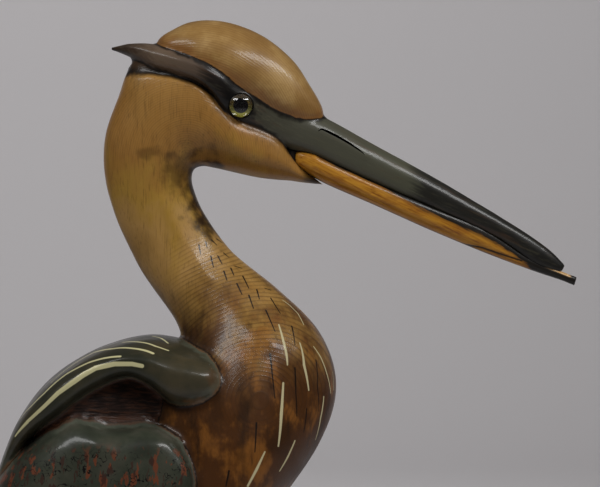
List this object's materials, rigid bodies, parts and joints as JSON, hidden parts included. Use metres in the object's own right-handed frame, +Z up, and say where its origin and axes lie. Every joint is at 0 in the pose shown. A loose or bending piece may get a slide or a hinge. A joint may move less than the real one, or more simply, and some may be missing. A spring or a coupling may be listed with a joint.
{
  "type": "carved wooden heron sculpture",
  "caption": "Standing wading bird carved in wood and painted, with curved neck, long bill, swept-back crest, folded wings and glass eyes, on thin legs and an oval base.",
  "frame": {"origin": "centre of the flat underside of the base", "axes": "+Z up out of the base, +X the way the bill points, +Y to the bird's left; both sides are the same"},
  "size_m": [0.3522, 0.19, 0.6998],
  "materials": {
    "painted_body": "stained and painted carving under satin varnish",
    "painted_bill": "ochre paint, worn, satin varnish",
    "eye_glass": "polished clear dome over a painted iris",
    "leg_wood": "blue-grey stain, satin varnish",
    "base_wood": "brown stain, satin varnish"
  },
  "bodies": {
    "root": {"heron_body": "painted_body", "lower_bill": "painted_bill", "right_eye": "eye_glass", "left_eye": "eye_glass", "right_leg": "leg_wood", "left_leg": "leg_wood", "base": "base_wood"}
  },
  "joints": []
}
